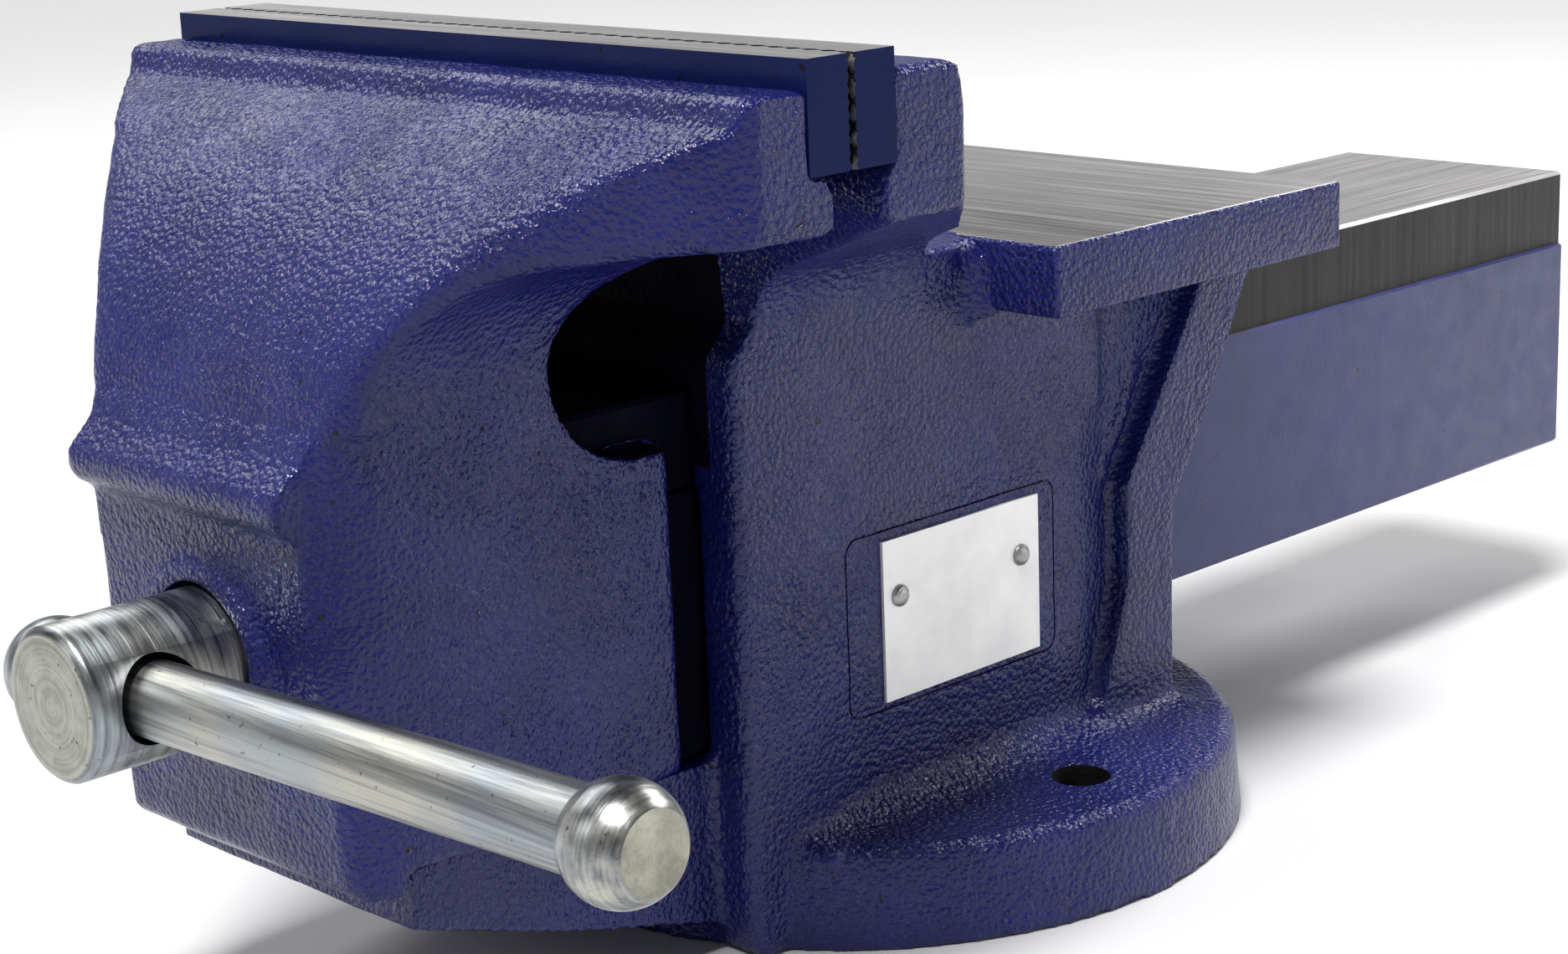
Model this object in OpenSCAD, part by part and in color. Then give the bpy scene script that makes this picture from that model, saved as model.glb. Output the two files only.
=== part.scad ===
// Bench vise with a fixed round base, an 8 inch jaw and an anvil.
// Millimetres. X runs across the jaws, +Y to the rear, +Z up.
// The origin is the centre of the base's underside.

/* [Jaws] */
// Width of both jaws and of their plates
jaw_w = 200; // [190:1:210]
// Height of the jaw plates' top edges above the bench
jaw_top = 197.7; // [196:0.1:200]
// Height of a jaw plate
plate_h = 21.6; // [20:0.1:22]
// Thickness of a jaw plate
plate_t = 11.4; // [10:0.1:12]
// Distance between the two screws of a jaw plate
plate_screw_span = 114; // [80:1:140]

/* [Slide] */
// Width of the slide over its machined band
slide_w = 72.8; // [70:0.1:74]
// Height of the slide's machined top above the bench
slide_top = 124; // [122:0.1:125]
// Height of the slide's underside above the bench
slide_bottom = 44.9; // [44.6:0.1:46]
// Rear end of the slide with the jaws closed
slide_rear = 255; // [235:1:270]
// Thickness of the slide's side walls and of its top wall
slide_wall = 9.5; // [7:0.5:11]

/* [Base] */
// Diameter of the round base
base_d = 182.8; // [176:0.1:200]
// Thickness of the base flange
base_h = 22.5; // [18:0.5:24]
// Distance between the two bench bolt holes
bolt_span = 138.2; // [130:0.1:144]
// Diameter of a bench bolt hole
bolt_hole_d = 13.5; // [10:0.5:14]

/* [Anvil] */
// Width of the anvil plate
anvil_w = 148; // [120:1:160]
// Height of the anvil's ground top above the bench
anvil_top = 146.2; // [145:0.1:149]
// Thickness of the anvil plate
anvil_t = 16; // [13:0.5:17]
// Front edge of the anvil plate
anvil_front = -11.5; // [-14:0.5:-8]
// Rear edge of the anvil plate
anvil_rear = 92.5; // [86:1:100]

/* [Screw] */
// Height of the screw's axis above the bench
screw_z = 82.4; // [81.5:0.1:84]
// Diameter of the screw's head
head_d = 30.8; // [30:0.1:31.5]
// Nominal diameter of the trapezoidal thread
thread_d = 28; // [26:0.5:28]
// Advance of the screw in one turn
thread_lead = 6; // [5:1:8]
// Rear end of the screw with the jaws closed
screw_rear = 185; // [170:1:200]

/* [Handle] */
// Diameter of the handle bar
bar_d = 15.3; // [14:0.1:16]
// Diameter of the ball at each end of the bar
ball_d = 21.4; // [21:0.1:23]
// Distance from the screw's axis to the centre of the far ball
bar_reach = 144; // [120:0.5:150]
// Lean of the bar from level as the closed vise was left, in degrees
bar_lean = 2.15; // [0:0.05:4]

/* [Nameplate] */
// Length of the blank nameplate
name_l = 51.6; // [40:0.1:54]
// Height of the blank nameplate
name_h = 36.6; // [30:0.1:38]

/* [Hidden] */
$fn = 64;

// Jaws along Y: the closed plates meet just behind jaw_meet
jaw_meet = -99.2;
jaw_gap = 0.2;
seat_moving = jaw_meet - plate_t;
seat_fixed = jaw_meet + jaw_gap + plate_t;
plate_bottom = jaw_top - plate_h;
moving_top = jaw_top - 5.5;
fixed_top = jaw_top - 4;
lip_z = plate_bottom - 11;

// Faces of the moving jaw along Y
jaw_front = -182.8;
front_wall_back = -158;
flank_rear = -97;
throat_r = 21;
throat_y = -106.5;
throat_z = 136;
cove_z = 132;
cove_r = 30;
nose_x = 35.5;
column_x = 44;
apron_bottom = 40;
tongue_front = -166.5;
tongue_w = 80;
// Limits that lie past the moving jaw's front and rear
past_front = -200;
past_rear = -60;

// Slide and the tunnel that it runs in
slide_cast = 1;
band_h = 20.6;
slide_x = slide_w / 2;
cast_x = slide_x + slide_cast;
run_gap = 0.15;
tunnel_x = slide_x + run_gap;
tunnel_cast_x = cast_x + 0.8;
tunnel_top = slide_top + run_gap;
floor_z = slide_bottom - 0.5;
bore_len = 700;

// Fixed body
body_front = -86;
body_rear = 57;
wall_front_x = 50.7;
wall_x = 48;
rib_x = 51.5;
// Shallow valley in each wall in front of its rib
valley_x = 46;
valley_front = 26;
valley_rear = 37;
flare_z = 116;
fixed_cove_z = 133;
fixed_cove_r = 20;
overhang_z = 100;
anvil_bottom = anvil_top - anvil_t;

// Screw, from front to rear
head_end = -217;
bar_hole_y = -202.2;
bar_hole_d = bar_d + 2.5;
bar_y = bar_hole_y + 0.9;
bar_drop = 0.6;
ball_left_x = -head_d / 2 - 8;
recess_d = 33.4;
boss_d = 41;
boss_front = -184.2;
recess_floor = -172;
washer_t = 3.4;
washer_d = 31.8;
journal_r = thread_d / 2;
fit = 0.08;
washer_bore_r = journal_r + fit;
shoulder_y = recess_floor - washer_t - 0.1;
core_r = journal_r - thread_lead / 2;
pin_y = -140;
pin_d = 5;
pin_l = 40;
spring_washer_y = pin_y - pin_d / 2 - 0.1;
spring_wire = 3;
spring_turns = 3;
spring_r = journal_r + 0.6 + spring_wire / 2;
spring_front = front_wall_back + 0.2;
spring_back = spring_washer_y - washer_t - 0.2;
thread_front = -128;

// Nut and its bolts
nut_x = 22;
nut_front = -78;
nut_rear = -14;
nut_top = 106;
nut_bolt_y = [-64, -28];
nut_bolt_d = 10;
nut_bolt_head_h = 6.4;
nut_bolt_head_r = 9.2;
pocket_x = 30;
pocket_front = -76;
pocket_rear = 46;
pocket_top = 28;
lock_washer_t = 2.5;
lock_washer_d = 18;
lock_washer_gap = 1.2;

// Jaw plate screws
plate_screw_d = 10;
plate_screw_head_d = 18;
plate_screw_z = plate_bottom + plate_h * 0.47;
plate_screw_l = 12;
plate_screw_sunk = 1;
plate_screw_rim = plate_screw_sunk + 1.2;
plate_socket_r = 3.46;

// Nameplate on its cast pad
pad_t = 0.5;
name_t = 0.8;
name_front = -42;
name_bottom = 46.8;
rivet_y = [name_front + 5.2, name_front + name_l - 6];
rivet_z = name_bottom + 0.64 * name_h;
rivet_d = 2.4;

steel = "#b9bdb6";
enamel = "#2b2a63";

// Points of an arc from angle a0 to a1
function arc(cx, cy, r, a0, a1, n) =
    [for (i = [0:n]) [cx + r * cos(a0 + (a1 - a0) * i / n), cy + r * sin(a0 + (a1 - a0) * i / n)]];
function flipped(points) = [for (i = [len(points) - 1:-1:0]) [-points[i][0], points[i][1]]];

// A (y, z) outline extruded across the vise
module across(points, w) {
    rotate([90, 0, 90])
        linear_extrude(w, center = true)
            polygon(points);
}

// An (x, z) outline, given for x >= 0, mirrored and extruded along the vise
module along(points, y0, y1) {
    translate([0, y1, 0])
        rotate([90, 0, 0])
            linear_extrude(y1 - y0)
                polygon(concat(points, flipped(points)));
}

// An (x, y) outline, given for x >= 0, mirrored and extruded upwards
module upward(points, z0, z1) {
    translate([0, 0, z0])
        linear_extrude(z1 - z0)
            polygon(concat(points, flipped(points)));
}

// A block between two x, two y and two z limits
module block(x0, x1, y0, y1, z0, z1) {
    translate([x0, y0, z0])
        cube([x1 - x0, y1 - y0, z1 - z0]);
}

// A cylinder along +Y from y0 to y1
module rod_y(x, z, r, y0, y1) {
    translate([x, y0, z])
        rotate([-90, 0, 0])
            cylinder(h = y1 - y0, r = r);
}

// A shape turned about the screw's axis, drawn as (radius, y)
module turned_y(points) {
    translate([0, 0, screw_z])
        rotate([-90, 0, 0])
            rotate_extrude()
                polygon(points);
}

// The frame of the leaning handle bar, with its own X along the bar
module bar_frame(y = bar_y, drop = bar_drop) {
    translate([0, y, screw_z])
        rotate([0, -bar_lean, 0])
            translate([0, 0, -drop])
                children();
}

// A plate screw's place; facing is 1 for screws driven to +Y and -1 to -Y
module at_plate_screw(x, y, facing) {
    translate([x, y, plate_screw_z])
        rotate([-90 * facing, 0, 0])
            children();
}

// Side view of the moving jaw, closed under the throat
function moving_side() = concat(
    [[jaw_front + 6.5, apron_bottom], [jaw_front + 3.5, apron_bottom + 3], [jaw_front, 108],
     [jaw_front, 112.5]],
    arc(jaw_front, 119, 5.5, 250, 120, 8),
    [[jaw_front + 0.6, 127], [jaw_front + 3, 131]],
    arc(jaw_front + 82.7, 108.8, 82, 165, 109, 14),
    [[-124.6, moving_top - 0.6], [-122.8, moving_top], [seat_moving, moving_top],
     [seat_moving, plate_bottom], [-106.6, plate_bottom - 0.6], [-104.2, plate_bottom - 4],
     [-104.2, lip_z + 2], [-105.2, lip_z], [-105.2, throat_z + throat_r]],
    arc(throat_y, throat_z, throat_r, 90, 270, 20),
    [[flank_rear, throat_z - throat_r], [flank_rear, apron_bottom]]);

// Plan of the moving jaw: a wedge from the column out to the full jaw width
function moving_plan() =
    [[0, past_front], [nose_x, past_front], [nose_x, -181.5], [97, -127.5],
     [jaw_w / 2, -123.5], [jaw_w / 2, past_rear], [0, past_rear]];

// Plan of the column below the overhang: its flanks swell gently to the rear
function column_plan() =
    [[0, past_front], [nose_x, past_front], [nose_x, -181.5], [39.5, -177], [42, -170],
     [column_x - 0.5, -160], [column_x, -148], [column_x, past_rear], [0, past_rear]];

// Front view of the moving jaw: a column, a cove and the overhang
function moving_front() = concat(
    [[0, 0], [column_x, 0], [column_x, cove_z]],
    arc(column_x + cove_r, cove_z, cove_r, 180, 90, 10),
    [[jaw_w / 2, lip_z], [jaw_w / 2, moving_top], [0, moving_top]]);

module moving_jaw_solid() {
    intersection() {
        across(moving_side(), jaw_w);
        along(moving_front(), past_front, past_rear);
        union() {
            upward(moving_plan(), cove_z, jaw_top);
            upward(column_plan(), 0, cove_z);
        }
    }
    // low boss around the screw
    rod_y(0, screw_z, boss_d / 2, boss_front, recess_floor + 2);
    // slide with its machined band
    block(-slide_x, slide_x, -140, slide_rear, slide_bottom, slide_top);
    block(-cast_x, cast_x, -140, slide_rear, slide_bottom, slide_top - band_h);
}

module moving_jaw_casting() {
    color(enamel)
        difference() {
            moving_jaw_solid();
            // room over the tongue, behind the apron
            block(-jaw_w / 2, jaw_w / 2, tongue_front - 1.5, 0, 0, slide_bottom);
            // hollow of the slide
            block(-slide_x + slide_wall, slide_x - slide_wall, front_wall_back, slide_rear + 1,
                  slide_bottom - 1, slide_top - slide_wall);
            // recess for the thrust washer and the bore behind it
            rod_y(0, screw_z, recess_d / 2, past_front, recess_floor);
            rod_y(0, screw_z, washer_bore_r, past_front, -100);
            // tapped holes for the plate screws
            for (side = [-1, 1])
                at_plate_screw(side * plate_screw_span / 2, seat_moving + 1, -1)
                    cylinder(h = plate_screw_l, r = plate_screw_d / 2 + 0.05);
        }
}

// Side view of the fixed jaw above the slide
function fixed_side() = concat(
    [[body_front + 2.5, 0], [body_front, 12], [body_front, 131], [-79.5, 138], [-81.5, 154],
     [-89.5, lip_z], [-91, lip_z + 2], [-91, plate_bottom - 4], [-89.6, plate_bottom],
     [seat_fixed, plate_bottom], [seat_fixed, fixed_top], [-71.5, fixed_top], [-69.2, fixed_top - 1.2],
     [-68.3, fixed_top - 4]],
    arc(-100.7, 122, 72, 62.5, 26, 10),
    [[-32, anvil_top - 0.2], [anvil_front + 4, anvil_top - 0.2], [anvil_rear - 2, anvil_top - 0.2],
     [anvil_rear - 2, anvil_bottom], [body_rear + 13, 91], [body_rear, 71], [body_rear, 0]]);

// Plan of the fixed jaw: full width at the plate, tapering back to the walls
function fixed_plan() =
    [[0, -95], [jaw_w / 2, -95], [jaw_w / 2, -69], [rib_x, -18], [rib_x, valley_front],
     [valley_x, valley_rear], [valley_x, anvil_rear], [0, anvil_rear]];

// Plan of the side walls below the jaw
function wall_plan() =
    [[0, body_front], [wall_front_x - 1.5, body_front], [wall_front_x, body_front + 1.5],
     [wall_front_x, -66], [wall_x, name_front - 4], [wall_x, valley_front],
     [valley_x, valley_rear], [valley_x, anvil_rear], [0, anvil_rear]];

// Front view of the fixed jaw: walls, a cove and the overhang
function fixed_front() = concat(
    [[0, 0], [wall_x, 0], [wall_x, flare_z], [wall_front_x, fixed_cove_z]],
    arc(wall_front_x + fixed_cove_r, fixed_cove_z, fixed_cove_r, 180, 118, 6),
    [[jaw_w / 2, lip_z], [jaw_w / 2, fixed_top], [0, fixed_top]]);

// The raised rib that stiffens each wall's rear edge
function rib_side() =
    [[28, base_h - 1], [39, 55], [39, 79], [64, 118], [71, anvil_bottom + 1], [anvil_rear - 2, anvil_bottom + 1],
     [anvil_rear - 2, anvil_bottom - 1], [body_rear + 13, 91], [body_rear, 71],
     [body_rear, base_h - 1]];

// Side view of the floor that reaches forward under the moving jaw
function tongue_side() =
    [[tongue_front, floor_z], [tongue_front, 31], [-124, 17], [-101, 11], [-84, 6], [-60, 6],
     [-60, floor_z]];

// Flare of each wall's foot into the flange
function foot_front() = concat(
    [[0, base_h - 1], [wall_x + 11, base_h - 1], [wall_x + 11, base_h]],
    arc(wall_x + 11, base_h + 14, 14, 270, 210, 6),
    [[wall_x - 2.5, base_h + 24], [0, base_h + 24]]);

module base_flange() {
    r = base_d / 2;
    edge = 3;
    rotate_extrude($fn = 128)
        polygon(concat(
            [[0, 0], [r, 0]],
            arc(r - 1.6 - edge, base_h - edge, edge, 0, 90, 5),
            [[0, base_h]]));
}

module anvil_plate() {
    corner = 1.5;
    x = anvil_w / 2;
    upward(concat(
        [[0, anvil_front]],
        arc(x - corner, anvil_front + corner, corner, 270, 360, 4),
        arc(x - corner, anvil_rear - corner, corner, 0, 90, 4),
        [[0, anvil_rear]]), anvil_bottom, anvil_top);
}

module body_solid() {
    base_flange();
    across(tongue_side(), tongue_w);
    // side walls up to the anvil
    intersection() {
        across(fixed_side(), jaw_w);
        upward(wall_plan(), 0, anvil_top);
    }
    // the jaw with its overhang
    intersection() {
        across(fixed_side(), jaw_w);
        upward(fixed_plan(), overhang_z, jaw_top);
        along(fixed_front(), jaw_meet, anvil_rear);
    }
    across(rib_side(), 2 * rib_x);
    anvil_plate();
    // feet of the walls
    along(foot_front(), -72, body_rear);
    // pad for the nameplate
    block(0, wall_x + pad_t, name_front - 5, name_front + name_l + 5, name_bottom - 5,
          name_bottom + name_h + 5);
}

module body_casting() {
    color(enamel)
        difference() {
            body_solid();
            // tunnel for the slide
            block(-tunnel_x, tunnel_x, -bore_len / 2, bore_len / 2, floor_z, tunnel_top);
            block(-tunnel_cast_x, tunnel_cast_x, -bore_len / 2, bore_len / 2, floor_z,
                  tunnel_top - band_h + 1);
            // pocket under the floor
            block(-pocket_x, pocket_x, pocket_front, pocket_rear, -1, pocket_top);
            // bench bolt holes
            for (side = [-1, 1])
                translate([side * bolt_span / 2, 0, -1])
                    cylinder(h = base_h + 40, r = bolt_hole_d / 2);
            // holes for the nut's bolts
            for (y = nut_bolt_y)
                translate([0, y, 0])
                    cylinder(h = floor_z + 1, r = nut_bolt_d / 2 + 0.3);
            // tapped holes for the plate screws
            for (side = [-1, 1])
                at_plate_screw(side * plate_screw_span / 2, seat_fixed - 1, 1)
                    cylinder(h = plate_screw_l, r = plate_screw_d / 2 + 0.05);
            // holes for the rivets
            for (y = rivet_y)
                translate([wall_x + pad_t + 0.1, y, rivet_z])
                    rotate([0, -90, 0])
                        cylinder(h = 6, r = rivet_d / 2 + 0.03, $fn = 24);
        }
}

// A jaw plate from y0 to y0 + plate_t with its countersunk holes; facing as for its screws
module jaw_plate(y0, facing) {
    open_y = facing > 0 ? y0 : y0 + plate_t;
    head_r = plate_screw_head_d / 2 + 0.2;
    color("#8b8d90")
        difference() {
            block(-jaw_w / 2, jaw_w / 2, y0, y0 + plate_t, plate_bottom + 0.05, jaw_top);
            for (side = [-1, 1])
                at_plate_screw(side * plate_screw_span / 2, open_y, facing) {
                    translate([0, 0, -1])
                        cylinder(h = plate_t + 2, r = plate_screw_d / 2 + 0.3);
                    translate([0, 0, -0.01])
                        cylinder(h = plate_screw_rim, r = head_r);
                    translate([0, 0, plate_screw_rim - 0.02])
                        cylinder(h = 4.2, r1 = head_r, r2 = plate_screw_d / 2 + 0.2);
                }
        }
}

module fixed_jaw_plate() {
    jaw_plate(jaw_meet + jaw_gap, 1);
}

module moving_jaw_plate() {
    jaw_plate(seat_moving, -1);
}

// A countersunk socket screw with its head just below the plate's face
module plate_screw(x, y, facing) {
    r = plate_screw_d / 2;
    head_r = plate_screw_head_d / 2;
    end = plate_t + plate_screw_l - 3;
    color("#4b4c50")
        at_plate_screw(x, y, facing)
            difference() {
                rotate_extrude()
                    polygon([[0, plate_screw_sunk], [head_r, plate_screw_sunk],
                             [head_r, plate_screw_rim], [r, plate_screw_rim + head_r - r],
                             [r, end - 1], [r - 1, end], [0, end]]);
                translate([0, 0, plate_screw_sunk - 0.1])
                    cylinder(h = 4, r = plate_socket_r, $fn = 6);
            }
}

module fixed_plate_screw_left() {
    plate_screw(-plate_screw_span / 2, jaw_meet + jaw_gap, 1);
}

module fixed_plate_screw_right() {
    plate_screw(plate_screw_span / 2, jaw_meet + jaw_gap, 1);
}

module moving_plate_screw_left() {
    plate_screw(-plate_screw_span / 2, jaw_meet, -1);
}

module moving_plate_screw_right() {
    plate_screw(plate_screw_span / 2, jaw_meet, -1);
}

// Screw: cross-drilled head, plain journal, threaded shank at its root diameter
module lead_screw() {
    r = head_d / 2;
    color(steel)
        difference() {
            turned_y([[0, head_end], [r - 1.8, head_end], [r, head_end + 1.8], [r, shoulder_y],
                      [journal_r, shoulder_y], [journal_r, thread_front - 2],
                      [core_r, thread_front], [core_r, screw_rear - 2],
                      [core_r - 2, screw_rear], [0, screw_rear]]);
            bar_frame(bar_hole_y, 0)
                rotate([0, 90, 0])
                    cylinder(h = head_d * 2, r = bar_hole_d / 2, center = true);
            translate([0, pin_y, screw_z - head_d])
                cylinder(h = head_d * 2, r = pin_d / 2 + 0.02);
        }
}

module thrust_washer() {
    journal_washer(recess_floor);
}

// A ring of points about the coil's wire at turn angle a
function wire_ring(a, y) =
    [for (k = [0:7])
        let (rr = spring_r + spring_wire / 2 * cos(45 * k))
            [rr * cos(a), y + spring_wire / 2 * sin(45 * k), screw_z + rr * sin(a)]];

// Short spring that takes up the end play of the screw
module take_up_spring() {
    steps = 24 * spring_turns;
    y0 = spring_front + spring_wire / 2;
    y1 = spring_back - spring_wire / 2;
    points = [for (i = [0:steps]) each wire_ring(i * 15, y0 + (y1 - y0) * i / steps)];
    sides = [for (i = [0:steps - 1], k = [0:7])
        [i * 8 + k, i * 8 + (k + 1) % 8, (i + 1) * 8 + (k + 1) % 8, (i + 1) * 8 + k]];
    ends = [[for (k = [7:-1:0]) k], [for (k = [0:7]) steps * 8 + k]];
    color("#6f7276")
        polyhedron(points, concat(sides, ends));
}

// A plain washer on the journal, with its rear face at y
module journal_washer(y) {
    color(steel)
        turned_y([[washer_bore_r, y - washer_t], [washer_d / 2, y - washer_t],
                  [washer_d / 2, y], [washer_bore_r, y]]);
}

module spring_washer() {
    journal_washer(spring_washer_y);
}

module retaining_pin() {
    color("#6f7276")
        translate([0, pin_y, screw_z])
            cylinder(h = pin_l, r = pin_d / 2, center = true, $fn = 32);
}

module handle_bar() {
    color(steel)
        bar_frame()
            translate([ball_left_x, 0, 0])
                rotate([0, 90, 0])
                    cylinder(h = bar_reach - ball_left_x, r = bar_d / 2);
}

// A ball pressed on the bar's end; its outer face is flat. side is 1 or -1
module handle_ball(x, side) {
    flat = ball_d / 2 * 0.74;
    neck = sqrt(pow(ball_d / 2, 2) - pow(bar_d / 2 + 0.6, 2));
    start = -asin(neck / ball_d * 2);
    stop = asin(flat / ball_d * 2);
    color(steel)
        bar_frame()
            translate([x, 0, 0])
                rotate([0, 90 * side, 0])
                    difference() {
                        rotate_extrude()
                            polygon(concat(
                                [[0, -neck]],
                                arc(0, 0, ball_d / 2, start, stop, 16),
                                [[0, flat]]));
                        translate([0, 0, -ball_d])
                            cylinder(h = ball_d, r = bar_d / 2 + 0.01);
                    }
}

module handle_ball_left() {
    handle_ball(ball_left_x, -1);
}

module handle_ball_right() {
    handle_ball(bar_reach, 1);
}

module screw_nut() {
    color("#6a6258")
        difference() {
            block(-nut_x, nut_x, nut_front, nut_rear, floor_z, nut_top);
            rod_y(0, screw_z, journal_r + fit, nut_front - 1, nut_rear + 1);
            for (y = nut_bolt_y)
                translate([0, y, floor_z - 1])
                    cylinder(h = 20, r = nut_bolt_d / 2 + 0.05);
        }
}

module nut_bolt(y) {
    head_z = pocket_top - lock_washer_t;
    color("#54565a")
        translate([0, y, 0]) {
            translate([0, 0, head_z - nut_bolt_head_h])
                cylinder(h = nut_bolt_head_h, r = nut_bolt_head_r, $fn = 6);
            translate([0, 0, head_z - 0.1])
                cylinder(h = floor_z - head_z + 16, r = nut_bolt_d / 2);
        }
}

module nut_bolt_front() {
    nut_bolt(nut_bolt_y[0]);
}

module nut_bolt_rear() {
    nut_bolt(nut_bolt_y[1]);
}

// Split lock washer under a nut bolt's head
module nut_lock_washer(y) {
    color("#54565a")
        translate([0, y, pocket_top - lock_washer_t])
            difference() {
                cylinder(h = lock_washer_t, r = lock_washer_d / 2);
                translate([0, 0, -1])
                    cylinder(h = lock_washer_t + 2, r = nut_bolt_d / 2 + 0.3);
                translate([0, -lock_washer_gap / 2, -1])
                    cube([lock_washer_d, lock_washer_gap, lock_washer_t + 2]);
            }
}

module nut_lock_washer_front() {
    nut_lock_washer(nut_bolt_y[0]);
}

module nut_lock_washer_rear() {
    nut_lock_washer(nut_bolt_y[1]);
}

module nameplate() {
    color("#e4e4e0")
        difference() {
            block(wall_x + pad_t, wall_x + pad_t + name_t, name_front, name_front + name_l,
                  name_bottom, name_bottom + name_h);
            for (y = rivet_y)
                translate([wall_x, y, rivet_z])
                    rotate([0, 90, 0])
                        cylinder(h = 4, r = rivet_d / 2 + 0.03, $fn = 24);
        }
}

// A domed drive rivet through the nameplate
module nameplate_rivet(y) {
    dome = 1.3;
    head_r = 2.5;
    color("#c8c8c4")
        translate([wall_x + pad_t + name_t, y, rivet_z])
            rotate([0, 90, 0])
                rotate_extrude($fn = 32)
                    polygon(concat(
                        [[0, -5], [rivet_d / 2, -5], [rivet_d / 2, 0]],
                        [for (i = [0:5]) [head_r * cos(i * 18), dome * sin(i * 18)]]));
}

module nameplate_rivet_front() {
    nameplate_rivet(rivet_y[0]);
}

module nameplate_rivet_rear() {
    nameplate_rivet(rivet_y[1]);
}

body_casting();
moving_jaw_casting();
fixed_jaw_plate();
moving_jaw_plate();
fixed_plate_screw_left();
fixed_plate_screw_right();
moving_plate_screw_left();
moving_plate_screw_right();
lead_screw();
thrust_washer();
take_up_spring();
spring_washer();
retaining_pin();
handle_bar();
handle_ball_left();
handle_ball_right();
screw_nut();
nut_bolt_front();
nut_bolt_rear();
nut_lock_washer_front();
nut_lock_washer_rear();
nameplate();
nameplate_rivet_front();
nameplate_rivet_rear();
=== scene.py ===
"""Looks of the bench vise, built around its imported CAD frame. Metres, in the row frame."""

import math
from contextlib import contextmanager

import bmesh
import bpy
import numpy as np
from mathutils import Matrix, Vector, noise


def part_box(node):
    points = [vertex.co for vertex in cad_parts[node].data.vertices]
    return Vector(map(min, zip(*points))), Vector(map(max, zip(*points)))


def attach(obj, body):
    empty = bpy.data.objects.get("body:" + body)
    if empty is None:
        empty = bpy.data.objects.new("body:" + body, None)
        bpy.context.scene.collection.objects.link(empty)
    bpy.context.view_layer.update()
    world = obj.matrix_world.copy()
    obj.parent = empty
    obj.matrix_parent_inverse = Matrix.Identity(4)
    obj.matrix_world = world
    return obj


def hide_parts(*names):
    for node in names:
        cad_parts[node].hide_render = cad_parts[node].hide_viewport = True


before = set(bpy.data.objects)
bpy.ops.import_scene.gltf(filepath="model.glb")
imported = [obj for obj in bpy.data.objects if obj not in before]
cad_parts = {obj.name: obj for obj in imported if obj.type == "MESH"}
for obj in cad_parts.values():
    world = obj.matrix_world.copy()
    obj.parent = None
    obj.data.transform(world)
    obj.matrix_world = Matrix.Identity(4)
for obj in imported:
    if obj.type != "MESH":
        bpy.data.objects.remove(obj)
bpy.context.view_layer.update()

MM = 0.001
VOXEL = 1.25 * MM
JAW_RIDER, BODY_RIDER = "moving_jaw", "fixed_body"
SCREW_RIDER, HANDLE_RIDER = "screw", "handle"
SIDES = (-1, 1)


def node_box(node):
    """Lowest and highest corner of a CAD node, in metres."""
    low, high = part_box(node)
    return Vector(low), Vector(high)


BODY_LOW, BODY_HIGH = node_box("body_casting")
JAW_LOW, JAW_HIGH = node_box("moving_jaw_casting")
SCREW_LOW, SCREW_HIGH = node_box("lead_screw")
SCREW_Z = (SCREW_LOW.z + SCREW_HIGH.z) / 2
HEAD_R = (SCREW_HIGH.z - SCREW_LOW.z) / 2
FIXED_PLATE_LOW, FIXED_PLATE_HIGH = node_box("fixed_jaw_plate")
MOVING_PLATE_LOW, MOVING_PLATE_HIGH = node_box("moving_jaw_plate")

# Sizes of the castings that their boxes don't give. HALF is a half width, across X.
ANVIL_TOP = 146.2 * MM
ANVIL_BOTTOM = ANVIL_TOP - 16 * MM
ANVIL_HALF = 74 * MM
ANVIL_FRONT = -11.5 * MM
BASE_HEIGHT = 22.5 * MM
SLIDE_TOP = 124 * MM
SLIDE_BOTTOM = 44.9 * MM
SLIDE_FRONT = -135 * MM
BAND_BOTTOM = 103.4 * MM
SLIDE_HALF = 36.4 * MM
CAST_HALF = 37.4 * MM
SLIDE_ROOT = -82 * MM


# ---------------------------------------------------------------- materials

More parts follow.
